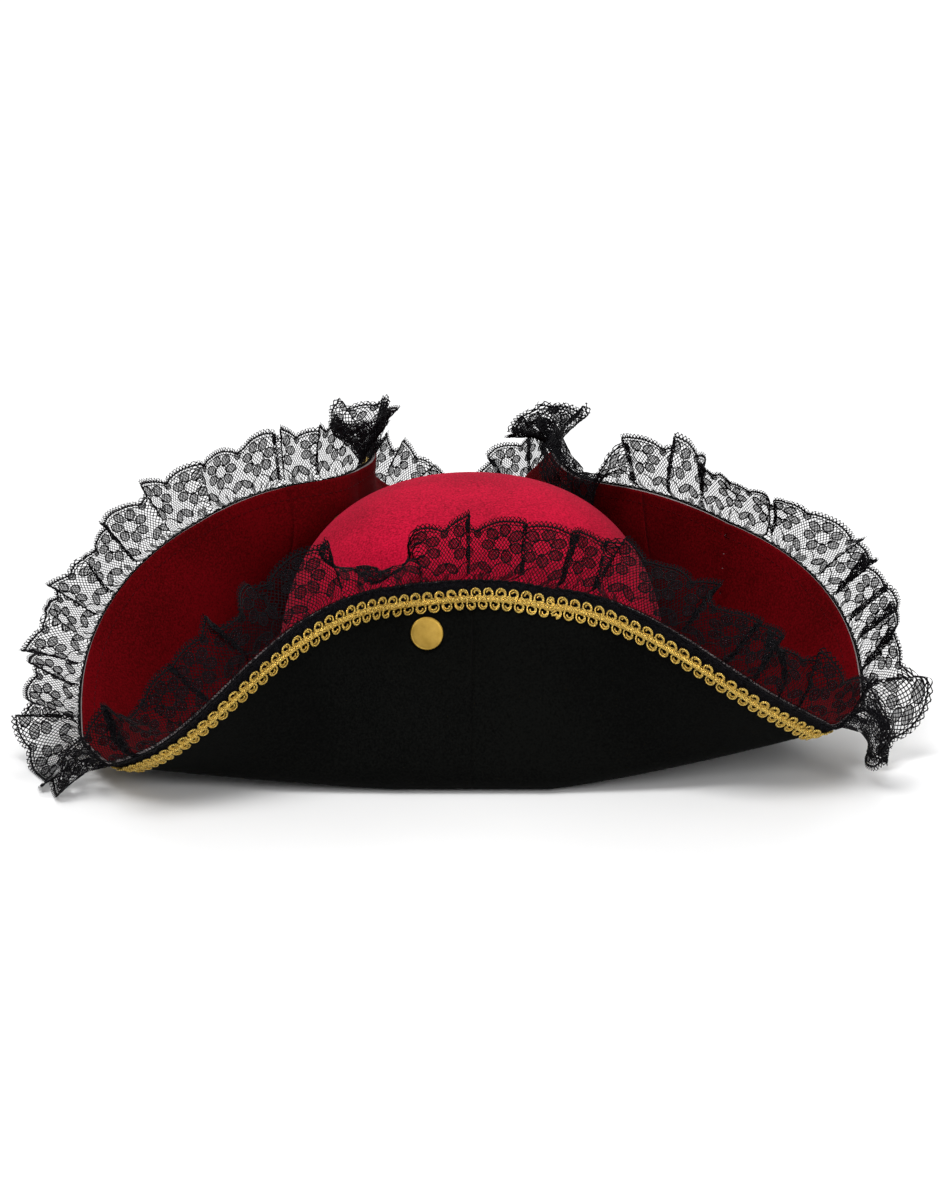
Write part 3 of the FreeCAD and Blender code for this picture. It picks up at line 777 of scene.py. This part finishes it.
class LaceStrip:
    """A length of gathered lace for one half of a flap, and the cords worked on it."""

    def __init__(self, flap_name, side):
        self.azimuths = half_azimuths(flap_name, side, LINE_STEPS)
        self.fractions = np.linspace(0, 1, LACE_ROWS)
        self.grid, self.marks = lace_points(self.azimuths, self.fractions)
        self.u = self.marks[:, 0, 0]
        order = np.argsort(self.u)
        self.order_u = self.u[order]
        self.order_rows = np.arange(len(order))[order]

    def lift(self, u, v):
        """Points in space of places on the strip."""
        row = np.interp(u, self.order_u, self.order_rows)
        i = np.clip(row.astype(int), 0, len(self.u) - 2)
        t = (row - i)[:, None]
        width = np.interp(row, np.arange(len(self.u)), self.marks[:, -1, 1])
        column = np.clip(np.asarray(v) / width, 0, 1) * (len(self.fractions) - 1)
        j = np.clip(column.astype(int), 0, len(self.fractions) - 2)
        s = (column - j)[:, None]
        near = self.grid[i, j] * (1 - s) + self.grid[i, j + 1] * s
        far = self.grid[i + 1, j] * (1 - s) + self.grid[i + 1, j + 1] * s
        return near * (1 - t) + far * t

    def cords(self):
        made = Tubes()
        low, high = self.u.min(), self.u.max()

        def draw(u, v, radius, sides=4):
            u = np.asarray(u)
            keep = (u > low) & (u < high)
            if keep.sum() > 2 and keep.all():
                made.add(self.lift(u, v), radius, sides)

        turn = np.linspace(0, 2 * math.pi, 49)
        for k in range(int(math.floor(low / LACE_PERIOD)), int(math.ceil(high / LACE_PERIOD)) + 1):
            middle = k * LACE_PERIOD
            for petal in range(PETALS):
                a = (petal + 0.5) * 2 * math.pi / PETALS
                x = PETAL_RING + PETAL_LONG * np.cos(turn[::3])
                y = PETAL_WIDE * np.sin(turn[::3])
                draw(middle + x * math.cos(a) - y * math.sin(a),
                     FLOWER_HEIGHT + x * math.sin(a) + y * math.cos(a), 0.3)
            eye = FLOWER_EYE + 0.25 * np.cos(PETALS * turn)
            draw(middle + eye * np.cos(turn), FLOWER_HEIGHT + eye * np.sin(turn), MOTIF_CORD)
            for sign in (1, -1):
                x0 = middle + sign * (LACE_PERIOD / 2 - LEAF_INSET)
                slant, width = LEAF_LONG * np.cos(turn[::2]), LEAF_WIDE * np.sin(turn[::2])
                draw(x0 + sign * (LEAF_ALONG * slant - LEAF_UP * width),
                     LEAF_HEIGHT + LEAF_UP * slant + LEAF_ALONG * width, 0.27)
                stem = np.linspace(0, 1, 9)
                draw(middle + sign * (0.4 + 6.0 * stem), 16.5 - 5.0 * stem ** 2, 0.26)
            draw(middle + LACE_PERIOD / 2 + BUD_WIDE * np.cos(turn[::4]),
                 BUD_HEIGHT + BUD_LONG * np.sin(turn[::4]), MOTIF_CORD)
        steps = np.arange(low + 0.05, high - 0.05, 0.5)
        rim = self.rim(steps)
        draw(steps, rim, EDGE_CORD, 5)
        draw(steps, rim - 1.5, INNER_CORD)
        for place in np.arange(low + 0.3, high - 0.3, 1.3):
            spot = np.full(3, place) + np.array([0, 0.1, 0.2])
            draw(spot, self.rim(spot) + np.array([0.0, 0.55, 1.05]), 0.33)
        draw(steps, 0 * steps + LACE_HEADING + 0.2 + 0.3 * np.sin(steps * 1.1), 0.35)
        return made

    @staticmethod
    def rim(u):
        """Height of the corded edge across the lace."""
        return LACE_WIDTH - LACE_FRINGE - LACE_DEPTH * (1 - np.abs(np.cos(math.pi * u / LACE_PERIOD)) ** 0.7)


def lace(flap_name, side, tag, nodes):
    """Net and cords of one half of a flap, and the length of lace gathered into it."""
    strip = LaceStrip(flap_name, side)
    rows, columns = strip.grid.shape[:2]
    faces = grid_faces(rows, columns, 0, side < 0)
    points, marks = strip.grid.reshape(-1, 3), strip.marks.reshape(-1, 3)
    sheet = mesh_object("lace_" + tag, points, faces, LACE, True, marks)
    cords = strip.cords().make("lace_cords_" + tag, LACE_CORD)
    attach(sheet, flap_name, side, "black_lace", *nodes)
    attach(cords, flap_name, side, "black_lace")
    lengths = np.linalg.norm(np.diff(strip.grid, axis=0), axis=2).sum(0)
    ruffle = strip.fractions > 0.3
    return sheet, cords, lengths[ruffle].mean() * MM


LAYERS = [
    ("under_cloth", 0.0, 0.6, 0.0, BLACK, "black_suede"),
    ("core", 0.6, 2.0, 0.35, FOAM, "foam"),
    ("upper_cloth", 2.0, 2.6, 0.1, DARK_RED_WITH_PAINTED_SHADE, "dark_red_suede"),
]
CORNER_OWNER = {("front", 1): "front_right", ("front", -1): "front_left", ("right", 1): "rear"}

for flap_name, side, corner in HALVES:
    tag = flap_name + ("_acw" if side > 0 else "_cw")
    owned = CORNER_OWNER.get((flap_name, side))
    for kind, low, high, inset, material, slot in LAYERS:
        piece = brim_layer(flap_name, side, kind, low, high, inset, material)
        nodes = []
        if side > 0:
            nodes.append("flap_" + flap_name + "_" + kind)
        if owned:
            nodes.append("corner_" + owned + "_" + kind)
        if flap_name == "front" and side > 0:
            nodes.append("brim_" + kind)
        attach(piece, flap_name, side, slot, *nodes)
    row = stitches(flap_name, side, STITCH_INSET, THICKNESS + 0.05, "stitches_" + tag, THREAD)
    attach(row, flap_name, side, "dark_red_suede")
    nodes = ["flap_" + flap_name + "_gimp"] if side > 0 else []
    nodes += ["corner_" + owned + "_gimp"] if owned else []
    attach(gimp(flap_name, side, "gimp_" + tag), flap_name, side, "gold_braid", *nodes)
    nodes = ["flap_" + flap_name + "_lace"] if side > 0 else []
    nodes += ["corner_" + owned + "_lace"] if owned else []
    sheet, cords, along = lace(flap_name, side, tag, nodes)


# ---- crown ---------------------------------------------------------------------------------------------
def crown():
    """Domed crown: cloth drawn over the shell, a little uneven."""
    rows, columns = 90, 180
    points = []
    for i in range(rows):
        angle = math.pi / 2 * (i / rows) ** 0.9
        for j in range(columns):
            a = 2 * math.pi * j / columns
            wobble = 0.0016 * math.sin(3 * a + 1.0) * math.cos(angle) + 0.0012 * math.sin(5 * a + 4 * angle)
            plan = math.cos(angle) ** (2 / CROWN_POWER) * (1 + wobble)
            height = math.sin(angle) ** (2 / CROWN_POWER)
            points.append((CROWN_HALF_WIDTH * plan * math.cos(a), CROWN_HALF_LENGTH * plan * math.sin(a),
                           CROWN_HEIGHT * height + 0.3 * (1 - height)))
    points.append((0, 0, CROWN_HEIGHT))
    faces = []
    for i in range(rows - 1):
        for j in range(columns):
            k = (j + 1) % columns
            faces.append((i * columns + j, i * columns + k, (i + 1) * columns + k, (i + 1) * columns + j))
    faces += [((rows - 1) * columns + j, (rows - 1) * columns + (j + 1) % columns, rows * columns)
              for j in range(columns)]
    made = mesh_object("crown_cloth_soft", points, faces, CRIMSON)
    thick = made.modifiers.new("thickness", "SOLIDIFY")
    thick.thickness = 0.7 * MM
    thick.offset = -1
    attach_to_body(made, "base")
    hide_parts("crown_cloth")


crown()

# ---- press studs ---------------------------------------------------------------------------------------
def crown_gap(origin, inward):
    near, far = 0.0, 60.0
    for _ in range(40):
        middle = (near + far) / 2
        p = origin + inward * middle
        plan = math.hypot(p[0] / CROWN_HALF_WIDTH, p[1] / CROWN_HALF_LENGTH)
        level = plan ** CROWN_POWER + max(p[2] / CROWN_HEIGHT, 0.0) ** CROWN_POWER
        near, far = (middle, far) if level > 1 else (near, middle)
    return near


def press_stud(name):
    flap = FLAPS[name]
    along, beyond = flap["stud_place"]
    across = fold_distance(flap, along) + beyond
    azimuth = flap["azimuth"] + math.degrees(math.atan2(along, across))
    place = brim_frame(flap, np.array([azimuth]), np.array([math.hypot(along, across)]))
    origin, inward = place[0][0], place[3][0]
    gap = crown_gap(origin, inward)
    dome = [(6.6 * t, -2.35 + 0.15 * t ** 3) for t in np.linspace(0.03, 1, 10)]
    rim = [(6.75, -2.15), (6.9, -2.2), (7.05, -2.2), (7.25, -2.1), (7.4, -1.9), (7.48, -1.6)]
    skirt = [(7.5, -1.2), (7.5, -0.9), (7.35, -0.72), (6.9, -0.7)]
    rivet = [(1.5, -0.7), (1.5, 2.5), (0.2, 2.5)]
    cap = dome + rim + skirt + rivet
    face = THICKNESS + 0.3
    top = face + 2.6
    socket = [(1.7, face), (6.0, face), (6.2, face + 0.2), (6.2, face + 1.7), (6.0, face + 2.1),
              (5.5, face + 2.45), (4.9, top), (4.2, face + 2.45), (3.6, top), (3.0, top),
              (2.7, face + 2.3), (2.7, face + 0.8), (1.7, face + 0.8)]
    nose = top - 0.7
    foot = gap - 1.1
    head = [(0.2, nose), (1.3, nose), (1.75, nose + 0.2), (1.9, nose + 0.5), (1.75, nose + 0.8)]
    flange = [(1.8, top + 0.5), (4.4, top + 0.5), (4.8, top + 0.6), (5.0, top + 0.85), (5.0, top + 1.2),
              (4.8, top + 1.5)]
    shank = [(2.4, top + 1.5), (2.4, foot - 0.2), (2.2, foot), (0.2, foot)]
    stud = head + flange + shank
    for kind, profile, body in (("cap", cap, "flap_" + name), ("socket", socket, "flap_" + name),
                                ("stud", stud, "base")):
        made = lathe(kind + "_" + name + "_brass", profile, origin, inward, BRASS, 72)
        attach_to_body(made, body)
        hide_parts(kind + "_" + name)


for flap_name in FLAPS:
    press_stud(flap_name)

for name, material in (("crown_lining", LINING), ("sweatband", SWEATBAND), ("crown_shell", FOAM),
                       ("post_front", BRASS), ("post_right", BRASS), ("post_left", BRASS)):
    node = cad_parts[name]
    for place in node.material_slots:
        place.material = material

# ---- stage, light and camera ---------------------------------------------------------------------------
FLOOR_REACH = 9000.0
floor_graph = Graph("floor")
floor_tone = floor_graph.noise(6.0)
floor_graph.put(floor_graph.shader.inputs["Base Color"],
                floor_graph.ramp(floor_tone, (0.3, (0.83, 0.83, 0.83)), (0.7, (0.86, 0.86, 0.86))))
floor_graph.shade("Roughness", 0.85, 0.95, floor_tone)
floor_graph.shader.inputs["Emission Color"].default_value = (1, 1, 1, 1)
floor_far = floor_graph.node("VectorMath", {0: floor_graph.place()}, operation="LENGTH").outputs["Value"]
floor_graph.shade("Emission Strength", 0.0, 0.6, floor_far, 0.6, 2.6)
floor_corners = [(x * FLOOR_REACH, y * FLOOR_REACH, -0.05) for x, y in ((-1, -1), (1, -1), (1, 1), (-1, 1))]
floor = mesh_object("floor", floor_corners, [(0, 1, 2, 3)], floor_graph.material, False)

world = bpy.data.worlds.new("studio")
world.use_nodes = True
world.node_tree.nodes["Background"].inputs["Color"].default_value = (0.95, 0.95, 0.96, 1)
world.node_tree.nodes["Background"].inputs["Strength"].default_value = 0.5
bpy.context.scene.world = world


def area_light(name, place, target, size, power):
    data = bpy.data.lights.new(name, "AREA")
    data.shape = "RECTANGLE"
    data.size, data.size_y = size
    data.energy = power
    made = bpy.data.objects.new(name, data)
    made.location = place
    made.rotation_euler = (Vector(target) - Vector(place)).to_track_quat("-Z", "Y").to_euler()
    bpy.context.scene.collection.objects.link(made)


area_light("key", (-0.35, -0.9, 1.9), (0, 0, 0.05), (1.0, 0.8), 31)
area_light("fill", (0.9, -1.3, 0.9), (0, 0, 0.06), (0.7, 0.7), 10)
area_light("back", (0.0, 1.4, 1.5), (0, 0, 0.08), (1.6, 0.8), 16)

CAMERA_PITCH = math.radians(18.1)
CAMERA_TARGET = Vector((1.6, 0, 49.4)) * MM
CAMERA_DISTANCE = 1.5
FOCAL_LENGTH = 3151 / 950  # as a share of the frame's width
camera_data = bpy.data.cameras.new("camera")
camera_data.sensor_fit = "HORIZONTAL"
camera_data.sensor_width = 36.0
camera_data.lens = FOCAL_LENGTH * 36.0
camera_data.clip_end = 50
camera = bpy.data.objects.new("camera", camera_data)
ahead = Vector((0, -math.cos(CAMERA_PITCH), math.sin(CAMERA_PITCH)))
camera.location = CAMERA_TARGET + ahead * CAMERA_DISTANCE
camera.rotation_euler = (CAMERA_TARGET - camera.location).to_track_quat("-Z", "Y").to_euler()
bpy.context.scene.collection.objects.link(camera)
bpy.context.scene.camera = camera
bpy.context.scene.view_settings.view_transform = "Standard"

bpy.context.view_layer.update()
